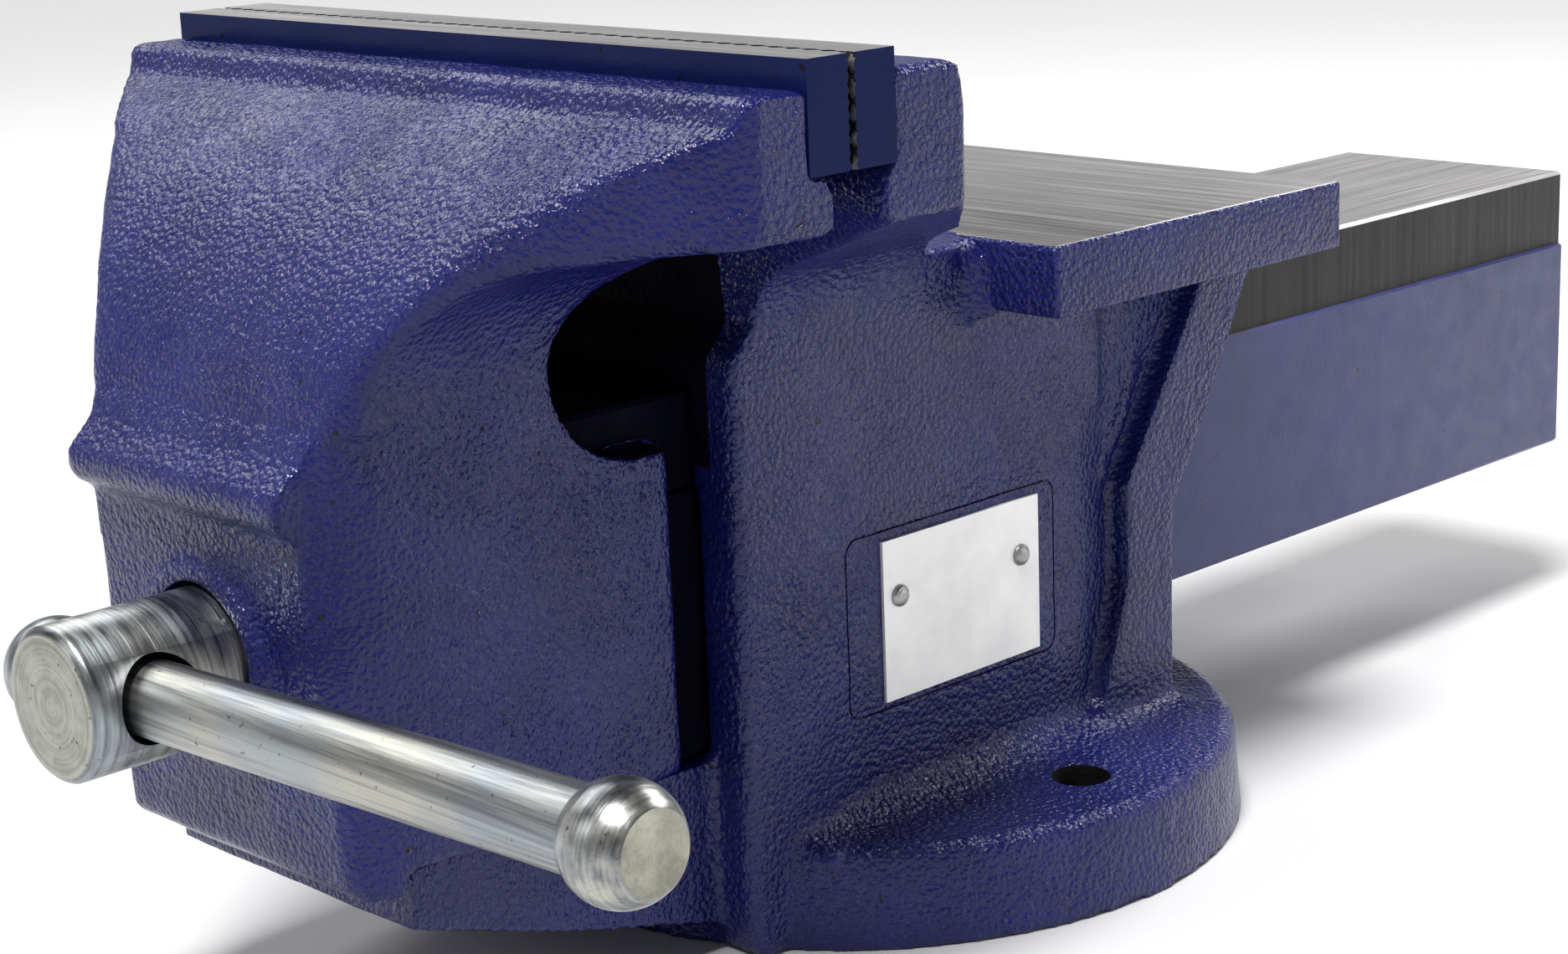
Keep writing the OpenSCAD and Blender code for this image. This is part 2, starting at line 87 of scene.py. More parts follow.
class Shader:
    """A Principled material with short calls for its texture nodes."""

    def __init__(self, name):
        self.material = bpy.data.materials.new(name)
        self.material.use_nodes = True
        self.tree = self.material.node_tree
        self.bsdf = self.tree.nodes["Principled BSDF"]
        self.place = self.tree.nodes.new("ShaderNodeTexCoord").outputs["Object"]

    def set(self, **values):
        for key, value in values.items():
            self.bsdf.inputs[key.replace("_", " ")].default_value = value

    def link(self, output, key):
        self.tree.links.new(output, self.bsdf.inputs[key])

    def node(self, kind, inputs=(), **settings):
        made = self.tree.nodes.new(kind)
        for key, value in settings.items():
            setattr(made, key, value)
        for key, value in dict(inputs).items():
            socket = made.inputs[key]
            if isinstance(value, bpy.types.NodeSocket):
                self.tree.links.new(value, socket)
            else:
                socket.default_value = value
        return made

    def stretched(self, scale):
        """Object coordinates scaled on each axis, for lines and streaks."""
        inputs = {"Vector": self.place, "Scale": scale}
        return self.node("ShaderNodeMapping", inputs).outputs["Vector"]

    def noise(self, scale, detail=2.0, rough=0.5, place=None):
        inputs = {"Vector": place or self.place, "Scale": scale, "Detail": detail, "Roughness": rough}
        return self.node("ShaderNodeTexNoise", inputs).outputs["Fac"]

    def cells(self, scale, smooth):
        inputs = {"Vector": self.place, "Scale": scale, "Smoothness": smooth}
        return self.node("ShaderNodeTexVoronoi", inputs, feature="SMOOTH_F1").outputs["Distance"]

    def ramp(self, value, low, high, out_low=0.0, out_high=1.0):
        inputs = {"Value": value, "From Min": low, "From Max": high,
                  "To Min": out_low, "To Max": out_high}
        return self.node("ShaderNodeMapRange", inputs).outputs["Result"]

    def math(self, kind, a, b=0.0):
        return self.node("ShaderNodeMath", {0: a, 1: b}, operation=kind).outputs[0]

    def mix(self, factor, a, b):
        """Colour a where the factor is 0 and b where it is 1."""
        made = self.node("ShaderNodeMix", data_type="RGBA")
        for key, value in {"Factor": factor, "A": a, "B": b}.items():
            socket = [s for s in made.inputs if s.name == key and s.enabled][0]
            if isinstance(value, bpy.types.NodeSocket):
                self.tree.links.new(value, socket)
            else:
                socket.default_value = value
        return [s for s in made.outputs if s.enabled][0]

    def fade_to_painted_shade(self, colour, start, end):
        """Colour that fades from a near-black painted shade, standing in for the shadow in the throat,
        before start on the Y axis to itself after end.
        """
        split = self.node("ShaderNodeSeparateXYZ", {"Vector": self.place})
        place = self.math("ADD", split.outputs["Y"], self.math("MULTIPLY", self.noise(60), 8 * MM))
        # The near-black colour is painted shade for the unlit throat between the jaws
        return self.mix(self.ramp(place, start, end), (0.0015, 0.0015, 0.006, 1), colour)

    def bump(self, height, distance, under=None):
        """Relief of that depth from a height of 0 to 1, over the relief under it if there is one."""
        inputs = {"Height": height, "Distance": distance, "Strength": 1.0}
        if under is not None:
            inputs["Normal"] = under
        return self.node("ShaderNodeBump", inputs).outputs["Normal"]


def enamel(name, grain=1.0, deep=(0.006, 0.008, 0.085, 1), pale=(0.012, 0.014, 0.115, 1),
           gloss=(0.13, 0.26), shine=0.4, painted_shade_span=None):
    """Glossy blue enamel over sand-cast iron. grain scales the height of the cast texture, and
    the last argument gives where along Y a painted shade at one end starts and ends."""
    s = Shader(name)
    patch = s.ramp(s.noise(30, 3.0, 0.55), 0.36, 0.64, 0.6, 1.0)
    sand = s.math("MULTIPLY", s.cells(700, smooth=0.2), -1.0)
    fine = s.math("MULTIPLY", s.noise(1500, 1.5, 0.5), 0.7)
    pit_relief_and_shade = s.ramp(s.noise(330, 1.0, 0.5), 0.765, 0.785)
    height = s.math("MULTIPLY", s.math("ADD", fine, sand), patch)
    height = s.math("SUBTRACT", height, s.math("MULTIPLY", pit_relief_and_shade, 1.2))
    s.link(s.bump(height, 0.6 * MM * grain), "Normal")
    cloudy = s.mix(s.ramp(s.noise(45, 4.0, 0.6), 0.35, 0.65), deep, pale)
    # The pits darken to near black: painted shade in them, over their real relief
    base = s.mix(pit_relief_and_shade, cloudy, (0.003, 0.003, 0.008, 1))
    s.link(s.fade_to_painted_shade(base, *painted_shade_span) if painted_shade_span else base, "Base Color")
    s.link(s.ramp(s.noise(140, 3.0, 0.6), 0.3, 0.7, *gloss), "Roughness")
    s.set(Specular_IOR_Level=shine)
    return s.material


def ground_steel(name, along, colour=(0.68, 0.662, 0.65, 1), rough=(0.3, 0.46), painted_shade_span=None):
    """Bare metal ground in lines. along is the scale on each axis, low along the lines, and
    the last argument gives where along Y a painted shade at one end starts and ends."""
    s = Shader(name)
    lines = s.noise(1, 3.0, 0.6, s.stretched(along))
    cloud = s.noise(22, 4.0, 0.6)
    dark = tuple(0.8 * c for c in colour[:3]) + (1,)
    base = s.mix(s.ramp(s.math("ADD", lines, cloud), 0.7, 1.3), dark, colour)
    s.link(s.fade_to_painted_shade(base, *painted_shade_span) if painted_shade_span else base, "Base Color")
    s.link(s.ramp(lines, 0.3, 0.7, *rough), "Roughness")
    s.link(s.bump(lines, 0.012 * MM), "Normal")
    s.set(Metallic=1.0)
    return s.material


def zinc(name, lines_along, streaks_along, height=0.05 * MM, gloss=(0.26, 0.42)):
    """Zinc plate over turned steel: fine tool lines, longer streaks and small specks of dirt."""
    s = Shader(name)
    lines = s.noise(1, 2.0, 0.6, s.stretched(lines_along))
    streaks = s.noise(1, 4.0, 0.65, s.stretched(streaks_along))
    tint = s.mix(s.ramp(s.noise(38, 2.0, 0.5), 0.4, 0.6), (0.42, 0.45, 0.47, 1), (0.53, 0.52, 0.46, 1))
    shade = s.math("ADD", s.math("MULTIPLY", lines, 0.6), streaks)
    base = s.mix(s.ramp(shade, 0.62, 0.95), (0.16, 0.175, 0.19, 1), tint)
    specks = s.ramp(s.noise(600, 2.0, 0.6), 0.68, 0.74)
    s.link(s.mix(specks, base, (0.13, 0.12, 0.09, 1)), "Base Color")
    s.link(s.ramp(streaks, 0.3, 0.7, *gloss), "Roughness")
    s.link(s.bump(lines, height), "Normal")
    s.set(Metallic=1.0)
    return s.material


def turned_face(name, centre, colour=(0.46, 0.47, 0.42, 1)):
    """The end of a turned bar: rings about the centre line, which runs along Y."""
    s = Shader(name)
    to_centre = {"Vector": s.place, "Location": (-centre[0], 0, -centre[1]), "Scale": (1, 0, 1)}
    offset = s.node("ShaderNodeMapping", to_centre).outputs["Vector"]
    radius = s.node("ShaderNodeVectorMath", {0: offset}, operation="LENGTH").outputs["Value"]
    by_radius = {"W": s.math("MULTIPLY", radius, 1000.0), "Scale": 1.0, "Detail": 1.0}
    rings = s.node("ShaderNodeTexNoise", by_radius, noise_dimensions="1D").outputs["Fac"]
    cloud = s.noise(160, 5.0, 0.7)
    dull = tuple(0.6 * c for c in colour[:3]) + (1,)
    base = s.mix(s.ramp(s.math("ADD", cloud, s.math("MULTIPLY", rings, 0.5)), 0.6, 0.9), dull, colour)
    specks = s.ramp(s.noise(420, 3.0, 0.65), 0.64, 0.7)
    s.link(s.mix(specks, base, (0.12, 0.1, 0.07, 1)), "Base Color")
    s.link(s.ramp(cloud, 0.3, 0.7, 0.3, 0.5), "Roughness")
    rough = s.bump(cloud, 0.2 * MM)
    s.link(s.bump(rings, 0.12 * MM, under=rough), "Normal")
    s.set(Metallic=1.0)
    return s.material


def plain_metal(name, colour, rough, grain_scale=500, height=0.05 * MM):
    """A finished metal with a fine grain and uneven gloss."""
    s = Shader(name)
    grain = s.noise(grain_scale, 3.0, 0.6)
    dark = tuple(0.55 * c for c in colour[:3]) + (1,)
    s.link(s.mix(s.ramp(s.noise(140, 5.0, 0.65), 0.36, 0.64), dark, colour), "Base Color")
    s.link(s.ramp(grain, 0.3, 0.7, rough - 0.08, rough + 0.08), "Roughness")
    s.link(s.bump(grain, height), "Normal")
    s.set(Metallic=1.0)
    return s.material


# Where along Y the painted shade at the slide's root fades out; it stands in for the throat's shadow
SLIDE_PAINTED_SHADE = (SLIDE_ROOT + 1 * MM, SLIDE_ROOT + 34 * MM)
CAST_BLUE = enamel("cast_enamel")
SMOOTH_BLUE = enamel("smooth_enamel", grain=0.04, deep=(0.003, 0.008, 0.06, 1),
                     pale=(0.004, 0.01, 0.07, 1), shine=0.1)
BEAM_BLUE = enamel("beam_enamel", grain=0.05, deep=(0.013, 0.016, 0.11, 1),
                   pale=(0.02, 0.023, 0.135, 1), gloss=(0.3, 0.4), shine=0.35, painted_shade_span=SLIDE_PAINTED_SHADE)
# Near-black enamel: painted shade for the unlit throat between the jaws and the slide's root
SHADE_PAINTED_BLUE = enamel("painted_shade_enamel", grain=0.4, deep=(0.001, 0.001, 0.005, 1),
                   pale=(0.002, 0.002, 0.01, 1), gloss=(0.6, 0.8), shine=0.05)
GROUND_TOP = ground_steel("ground_top", (14, 700, 700))
SLIDE_TOP_STEEL = ground_steel("slide_top_steel", (700, 14, 700), painted_shade_span=SLIDE_PAINTED_SHADE)
BAND_STEEL = ground_steel("band_steel", (700, 700, 16), (0.032, 0.031, 0.03, 1), (0.38, 0.52),
                          painted_shade_span=SLIDE_PAINTED_SHADE)
SERRATED_STEEL = plain_metal("serrated_steel", (0.16, 0.16, 0.17, 1), 0.42)
BAR_ZINC = zinc("bar_zinc", (12, 1300, 1300), (7, 260, 260), gloss=(0.34, 0.48))
HEAD_ZINC = zinc("head_zinc", (12, 1000, 12), (60, 300, 60), height=0.09 * MM)
BALL_ZINC = zinc("ball_zinc", (1500, 130, 130), (110, 110, 110))
HEAD_FACE = turned_face("head_face", (0.0, SCREW_Z))
BALL_FACE = plain_metal("ball_face", (0.5, 0.49, 0.41, 1), 0.42, grain_scale=300, height=0.5 * MM)
THREAD_STEEL = plain_metal("thread_steel", (0.4, 0.39, 0.37, 1), 0.34)
DARK_STEEL = plain_metal("dark_steel", (0.07, 0.07, 0.075, 1), 0.45)
# Bare iron of the drilled bolt holes, its colour darkened to near black as painted shade for their
# depth
BARE_IRON_AND_SHADE = plain_metal("bare_iron_and_painted_shade", (0.05, 0.047, 0.045, 1), 0.7, grain_scale=600, height=0.3 * MM)
NUT_IRON = plain_metal("nut_iron", (0.17, 0.155, 0.14, 1), 0.6, grain_scale=700, height=0.25 * MM)
RIVET_METAL = plain_metal("rivet_metal", (0.5, 0.5, 0.49, 1), 0.4, grain_scale=1500, height=0.15 * MM)
WASHER_ZINC = plain_metal("washer_zinc", (0.55, 0.55, 0.5, 1), 0.35)


def blank_plate_material():
    """Satin silver-white sheet with faint smudges of paint."""
    s = Shader("blank_plate")
    cloud = s.noise(55, 4.0, 0.6)
    s.link(s.mix(s.ramp(cloud, 0.4, 0.7), (0.92, 0.915, 0.905, 1), (0.8, 0.8, 0.805, 1)), "Base Color")
    s.link(s.ramp(s.noise(1, 2.0, 0.5, s.stretched((20, 1500, 40))), 0.3, 0.7, 0.32, 0.45), "Roughness")
    s.link(s.bump(s.noise(400, 2.0, 0.5), 0.02 * MM), "Normal")
    s.set(Metallic=0.35)
    return s.material


PLATE_SILVER = blank_plate_material()


# ---------------------------------------------------------------- mesh helpers

def link_object(name, mesh):
    made = bpy.data.objects.new(name, mesh)
    bpy.context.scene.collection.objects.link(made)
    return made


@contextmanager
def edited(obj):
    """obj's mesh as a bmesh, written back to obj afterwards."""
    bm = bmesh.new()
    bm.from_mesh(obj.data)
    yield bm
    bm.to_mesh(obj.data)
    bm.free()


def mesh_from(name, verts, faces):
    mesh = bpy.data.meshes.new(name)
    mesh.from_pydata([tuple(v) for v in verts], [], faces)
    mesh.validate()
    return link_object(name, mesh)


def closed_mesh(name, verts, faces):
    """A closed mesh whose faces all look outward, whichever way round they are given."""
    made = mesh_from(name, verts, faces)
    with edited(made) as bm:
        bmesh.ops.recalc_face_normals(bm, faces=bm.faces)
    return made


def bm_object(name, bm):
    """An object from a bmesh of closed shells, which it frees."""
    mesh = bpy.data.meshes.new(name)
    bmesh.ops.recalc_face_normals(bm, faces=bm.faces)
    bm.to_mesh(mesh)
    bm.free()
    return link_object(name, mesh)


def block(name, low, high, bevel=0.0, segments=2):
    """A closed box between two corners, with bevelled edges if asked."""
    bm = bmesh.new()
    bmesh.ops.create_cube(bm, size=1.0)
    low, high = Vector(low), Vector(high)
    for v in bm.verts:
        v.co = Vector([(low[i] + high[i]) / 2 + v.co[i] * (high[i] - low[i]) for i in range(3)])
    if bevel:
        bmesh.ops.bevel(bm, geom=bm.edges[:], offset=bevel, segments=segments, affect="EDGES",
                        profile=0.5)
    return bm_object(name, bm)


def rod(name, start, end, radius, segments=96):
    """A closed cylinder from start to end."""
    start, end = Vector(start), Vector(end)
    bm = bmesh.new()
    bmesh.ops.create_cone(bm, cap_ends=True, segments=segments, radius1=radius, radius2=radius,
                          depth=(end - start).length)
    turn = (end - start).to_track_quat("Z", "Y").to_matrix().to_4x4()
    bmesh.ops.transform(bm, matrix=Matrix.Translation((start + end) / 2) @ turn, verts=bm.verts)
    return bm_object(name, bm)


def prism(name, outline, axis, low, high):
    """An outline of 2-D points extruded along axis "X", "Y" or "Z" from low to high."""
    def point(p, t):
        return {"X": (t, p[0], p[1]), "Y": (p[0], t, p[1]), "Z": (p[0], p[1], t)}[axis]
    n = len(outline)
    verts = [point(p, t) for t in (low, high) for p in outline]
    sides = [(i, (i + 1) % n, n + (i + 1) % n, n + i) for i in range(n)]
    return closed_mesh(name, verts, sides + [tuple(range(n))[::-1], tuple(range(n, 2 * n))])


def rounded_rectangle(low, high, radius, steps=8):
    """Points of a rectangle with round corners, in order."""
    corners = [(high[0] - radius, high[1] - radius), (low[0] + radius, high[1] - radius),
               (low[0] + radius, low[1] + radius), (high[0] - radius, low[1] + radius)]
    points = []
    for quarter, (u, v) in enumerate(corners):
        for i in range(steps + 1):
            a = (quarter + i / steps) * math.pi / 2
            points.append((u + radius * math.cos(a), v + radius * math.sin(a)))
    return points


def frame_prism(name, outer, inner, low, high):
    """A closed picture-frame shape along X between two outlines with as many (y, z) points."""
    n = len(outer)
    loops = [(outer, low), (outer, high), (inner, high), (inner, low)]
    verts = [(x, p[0], p[1]) for loop, x in loops for p in loop]
    faces = [(k * n + i, k * n + (i + 1) % n, (k + 1) % 4 * n + (i + 1) % n, (k + 1) % 4 * n + i)
             for k in range(4) for i in range(n)]
    return closed_mesh(name, verts, faces)


def lathe(name, profile, segments, place):
    """A closed body turned about its own +Z from (radius, height) points; place moves it."""
    verts, faces, rings = [], [], []
    for radius, height in profile:
        if radius < 1e-7:
            rings.append([len(verts)] * segments)
            verts.append(Vector((0, 0, height)))
            continue
        rings.append(list(range(len(verts), len(verts) + segments)))
        for i in range(segments):
            a = 2 * math.pi * i / segments
            verts.append(Vector((radius * math.cos(a), radius * math.sin(a), height)))
    for lower, upper in zip(rings, rings[1:]):
        for i in range(segments):
            j = (i + 1) % segments
            corners = [lower[i], lower[j], upper[j], upper[i]]
            unique = [c for k, c in enumerate(corners) if c not in corners[:k]]
            if len(unique) > 2:
                faces.append(tuple(unique))
    return mesh_from(name, [place @ v for v in verts], faces)


def apply_modifiers(obj):
    """Replaces obj's mesh with the one that its modifiers make."""
    graph = bpy.context.evaluated_depsgraph_get()
    mesh = bpy.data.meshes.new_from_object(obj.evaluated_get(graph))
    obj.modifiers.clear()
    old = obj.data
    obj.data = mesh
    bpy.data.meshes.remove(old)


def modify(obj, kind, **settings):
    modifier = obj.modifiers.new(kind.lower(), kind)
    for key, value in settings.items():
        setattr(modifier, key, value)


def cut(obj, cutter, solver="MANIFOLD"):
    """Takes a closed cutter away from obj and removes it."""
    modify(obj, "BOOLEAN", object=cutter, operation="DIFFERENCE", solver=solver)
    apply_modifiers(obj)
    bpy.data.objects.remove(cutter)


def add_shells(obj, *others):
    """Joins closed meshes into obj, as loose shells that a voxel remesh fuses."""
    with edited(obj) as bm:
        for other in others:
            bm.from_mesh(other.data)
            bpy.data.objects.remove(other)


def coordinates(mesh):
    co = np.empty(len(mesh.vertices) * 3)
    mesh.vertices.foreach_get("co", co)
    return co.reshape(-1, 3)


def set_coordinates(mesh, co):
    mesh.vertices.foreach_set("co", co.ravel())
    mesh.update()


def normals(mesh):
    out = np.empty(len(mesh.vertices) * 3)
    mesh.vertex_normals.foreach_get("vector", out)
    return out.reshape(-1, 3)


def waves(co, size, seed):
    """Smooth noise from -1 to 1 at each point, with lumps of that size."""
    shift = Vector((seed * 7.31, seed * 3.17, seed * 5.71))
    return np.array([noise.noise(Vector(p) / size + shift) for p in co])


def cast_skin(obj, low, high, steps, lumps=0.22 * MM, seed=1.0, soft=None):
    """Voxel remesh, rounded edges and the slight waviness of a sand casting, kept inside its box.
    steps sets the rounding, and soft gives each point a weight for further rounding."""
    modify(obj, "REMESH", mode="VOXEL", voxel_size=VOXEL, use_smooth_shade=True)
    modify(obj, "SMOOTH", factor=0.5, iterations=steps)
    apply_modifiers(obj)
    if soft:
        group = obj.vertex_groups.new(name="soft")
        for vertex in obj.data.vertices:
            weight = soft(vertex.co)
            if weight > 0:
                group.add([vertex.index], weight, "REPLACE")
        modify(obj, "SMOOTH", factor=0.5, iterations=40, vertex_group="soft")
        apply_modifiers(obj)
        obj.vertex_groups.clear()
    co = coordinates(obj.data)
    broad, small = 16 * MM, 5 * MM
    push = lumps * waves(co, broad, seed) + 0.4 * lumps * waves(co, small, seed + 1)
    co += normals(obj.data) * push[:, None]
    set_coordinates(obj.data, np.clip(co, np.array(low), np.array(high)))


def shade(obj, angle=38):
    """Smooth shading, with sharp edges above that angle in degrees."""
    obj.data.polygons.foreach_set("use_smooth", [True] * len(obj.data.polygons))
    obj.data.set_sharp_from_angle(angle=math.radians(angle))


def paint(obj, *materials, rule=None):
    """Gives obj its materials. rule picks one of them from a face's centre and normal."""
    obj.data.materials.clear()
    for material in materials:
        obj.data.materials.append(material)
    if rule:
        for face in obj.data.polygons:
            face.material_index = materials.index(rule(face.center, face.normal))
    else:
        obj.data.polygons.foreach_set("material_index", [0] * len(obj.data.polygons))


def piece(obj, body, slot, *nodes):
    """Puts a finished piece on its body and hides the CAD nodes that it stands for. slot is not used.
    """
    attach(obj, body)
    if nodes:
        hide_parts(*nodes)


def cad_copy(node, name):
    """A copy of a CAD node's mesh, with the seams between its faces welded."""
    made = link_object(name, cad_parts[node].data.copy())
    with edited(made) as bm:
        bmesh.ops.remove_doubles(bm, verts=bm.verts, dist=0.002 * MM)
    return made


# ---------------------------------------------------------------- castings

PLATE_SCREW_X = 57 * MM
PLATE_SCREW_Z = (FIXED_PLATE_LOW.z - 0.05 * MM) + 0.47 * 21.6 * MM
BOLT_X, BOLT_R = 69.1 * MM, 6.75 * MM
RECESS_R, RECESS_FLOOR = 16.7 * MM, -172 * MM
THROAT_LOW = (-43 * MM, -128 * MM, 108 * MM)
THROAT_HIGH = (43 * MM, -78 * MM, 163 * MM)
# Cutters end here, outside the vise
PAST_FRONT, PAST_REAR, PAST_SIDE = -0.25, 0.3, 0.12


def in_throat(centre, normal):
    """Whether a face looks into the unlit space between the jaws, where painted shade stands in for its
    shadow.
    """
    between = all(low < at < high for low, at, high in zip(THROAT_LOW, centre, THROAT_HIGH))
    looks_sideways = abs(normal.x) >= 0.6
    return between and not looks_sideways


def casting_material(centre, normal):
    """Enamel, with painted shade in the throat between the jaws, and bare iron darkened as painted
    shade in the bolt holes.
    """
    near_hole = math.hypot(abs(centre.x) - BOLT_X, centre.y) < BOLT_R + 0.3 * MM
    upright = abs(normal.z) < 0.5
    # Bolt hole walls: bare iron, darkened as painted shade
    if near_hole and upright and centre.z < BASE_HEIGHT - 1.5 * MM:
        return BARE_IRON_AND_SHADE
    return SHADE_PAINTED_BLUE if in_throat(centre, normal) else CAST_BLUE


def plate_screw_plugs(seat, deep):
    """Rods that close the hidden bores for the plate screws, whose roofs are thinner than a voxel."""
    bore_r = 5.6 * MM
    return [rod("plug", (side * PLATE_SCREW_X, seat, PLATE_SCREW_Z),
                (side * PLATE_SCREW_X, deep, PLATE_SCREW_Z), bore_r) for side in SIDES]


def rib_beads():
    """Lumps of surplus iron in the hollow in front of each wall's rib, along its slope."""
    count, x, start_y, start_z, run, rise = 8, 46.4, 36, 82, 13, 24
    beads = []
    for side in SIDES:
        for i in range(count):
            t = i / (count - 1)
            bm = bmesh.new()
            bmesh.ops.create_icosphere(bm, subdivisions=2, radius=(1.5 + 0.4 * math.sin(5 * i)) * MM)
            spot = Vector((side * x * MM, (start_y + run * t) * MM, (start_z + rise * t) * MM))
            bmesh.ops.translate(bm, vec=spot, verts=bm.verts)
            beads.append(bm_object("bead", bm))
    return beads


def anvil_fillets():
    """Small slopes between the column and the front of the anvil's plate."""
    inner, outer, front, rear = 50 * MM, 56 * MM, -19 * MM, -10 * MM
    return [prism("fillet", [(side * inner, front), (side * inner, rear), (side * outer, rear)],
                  "Z", ANVIL_BOTTOM - 2 * MM, ANVIL_TOP - 3 * MM) for side in SIDES]


def body_shell():
    """Base, walls and fixed jaw as one rounded casting; the anvil table is a piece of its own."""
    shell = cad_copy("body_casting", "body_shell")
    column_half = 46 * MM
    wide, rear, above = ANVIL_HALF + 5 * MM, BODY_HIGH.y + 5 * MM, ANVIL_TOP + 5 * MM
    for side in SIDES:
        near, far = sorted((side * column_half, side * wide))
        cut(shell, block("side", (near, ANVIL_FRONT - 0.02 * MM, ANVIL_BOTTOM + 1 * MM),
                         (far, rear, above)))
    bolt_plugs = [rod("plug", (side * BOLT_X, 0, 3 * MM), (side * BOLT_X, 0, BASE_HEIGHT - 0.1 * MM),
                      BOLT_R + 1 * MM) for side in SIDES]
    bore_plugs = plate_screw_plugs(FIXED_PLATE_HIGH.y + 0.5 * MM, FIXED_PLATE_HIGH.y + 13 * MM)
    add_shells(shell, *bolt_plugs, *anvil_fillets(), *rib_beads(), *bore_plugs)
    cast_skin(shell, BODY_LOW, BODY_HIGH, steps=4, seed=1.0)
    cut(shell, block("top", (-wide, ANVIL_FRONT + 1 * MM, ANVIL_TOP - 6 * MM), (wide, rear, above)))
    cut(shell, block("rear", (-wide, BODY_HIGH.y - 6 * MM, ANVIL_BOTTOM + 0.2 * MM),
                     (wide, rear, above)))
    for side in SIDES:
        cut(shell, rod("hole", (side * BOLT_X, 0, -5 * MM), (side * BOLT_X, 0, 40 * MM), BOLT_R))
    cut(shell, nameplate_groove())
    tunnel_floor = SLIDE_BOTTOM - 0.5 * MM
    side_gap, band_gap, gap = 0.8 * MM, 1.2 * MM, 0.35 * MM
    cut(shell, block("tunnel", (-CAST_HALF - side_gap, PAST_FRONT, tunnel_floor),
                     (CAST_HALF + side_gap, PAST_REAR, BAND_BOTTOM + band_gap)))
    cut(shell, block("tunnel_top", (-SLIDE_HALF - gap, PAST_FRONT, tunnel_floor),
                     (SLIDE_HALF + gap, PAST_REAR, SLIDE_TOP + gap)))
    cut(shell, block("seat", (-PAST_SIDE, FIXED_PLATE_LOW.y - 5 * MM, FIXED_PLATE_LOW.z),
                     (PAST_SIDE, FIXED_PLATE_HIGH.y, FIXED_PLATE_HIGH.z + 5 * MM)))
    shade(shell)
    paint(shell, CAST_BLUE, SHADE_PAINTED_BLUE, BARE_IRON_AND_SHADE, rule=casting_material)
    piece(shell, BODY_RIDER, "blue_enamel", "body_casting")


def nameplate_groove():
    """The cutter for the outline about the nameplate, on the right wall."""
    low, high, radius, width = (-53.5 * MM, 44.8 * MM), (16.5 * MM, 86 * MM), 4 * MM, 0.55 * MM
    bottom_x, outside_x = 47.75 * MM, 60 * MM
    outer = rounded_rectangle(low, high, radius)
    inner = rounded_rectangle((low[0] + width, low[1] + width), (high[0] - width, high[1] - width),
                              radius - width)
    return frame_prism("groove", outer, inner, bottom_x, outside_x)


def anvil_table():
    """The anvil plate: a ground top over painted cast sides."""
    table = block("anvil_table", (-ANVIL_HALF, ANVIL_FRONT, ANVIL_BOTTOM),
                  (ANVIL_HALF, BODY_HIGH.y, ANVIL_TOP), bevel=1.1 * MM, segments=3)
    shade(table, 50)
    paint(table, CAST_BLUE, GROUND_TOP, rule=lambda c, n: GROUND_TOP if n.z > 0.9 else CAST_BLUE)
    piece(table, BODY_RIDER, "blue_enamel")


def jaw_softness(co):
    """1 high on the moving jaw's arched edge, fading down along it to nothing at its foot,
    and nearly 1 along the rear edge of each flank."""
    x, y, z = abs(co.x) / MM, co.y / MM, co.z / MM
    on_flank_rear = x > 34 and y > -110 and z < 118
    if on_flank_rear:
        return 0.8
    on_arch = 36 < x < 93 and 122 < z < 178 and y < -114 - 0.15 * (z - 120)
    foot, fade = 125, 40
    return min(1.0, max(0.0, (z - foot) / fade)) if on_arch else 0.0


def moving_jaw_shell():
    """The moving jaw's head and flanks; the slide is a piece of its own."""
    shell = cad_copy("moving_jaw_casting", "moving_jaw_shell")
    bore_plugs = plate_screw_plugs(MOVING_PLATE_LOW.y - 0.5 * MM, MOVING_PLATE_LOW.y - 13 * MM)
    screw_plug = rod("plug", (0, -183 * MM, SCREW_Z), (0, -160 * MM, SCREW_Z), 18 * MM)
    add_shells(shell, screw_plug, *bore_plugs)
    cast_skin(shell, JAW_LOW, JAW_HIGH, steps=4, seed=4.0, soft=jaw_softness)
    under, slide_start, flank_rear, flank_half = 30 * MM, -126 * MM, -97.3 * MM, 50 * MM
    cut(shell, block("slide", (-CAST_HALF - 0.1 * MM, slide_start, under),
                     (CAST_HALF + 0.1 * MM, PAST_REAR, SLIDE_TOP + 0.6 * MM)))
    cut(shell, block("rear", (-flank_half, flank_rear, under),
                     (flank_half, PAST_REAR, SLIDE_TOP + 2 * MM)))
    cut(shell, rod("recess", (0, PAST_FRONT, SCREW_Z), (0, RECESS_FLOOR, SCREW_Z), RECESS_R))
    cut(shell, block("seat", (-PAST_SIDE, MOVING_PLATE_LOW.y, MOVING_PLATE_LOW.z),
                     (PAST_SIDE, MOVING_PLATE_HIGH.y + 5 * MM, MOVING_PLATE_HIGH.z + 5 * MM)))
    shade(shell)
    paint(shell, CAST_BLUE, SHADE_PAINTED_BLUE, rule=casting_material)
    piece(shell, JAW_RIDER, "blue_enamel", "moving_jaw_casting")


def slide_material(centre, normal):
    """Painted shade at the root, ground on top, machined in the side bands and painted elsewhere."""
    # Painted shade: the slide's root sits in the throat's shadow
    if centre.y < SLIDE_ROOT:
        return SHADE_PAINTED_BLUE
    if normal.z > 0.7 and centre.z > SLIDE_TOP - 2 * MM:
        return SLIDE_TOP_STEEL
    if abs(normal.x) > 0.7 and centre.z > BAND_BOTTOM and abs(centre.x) > SLIDE_HALF - 1 * MM:
        return BAND_STEEL
    return BEAM_BLUE


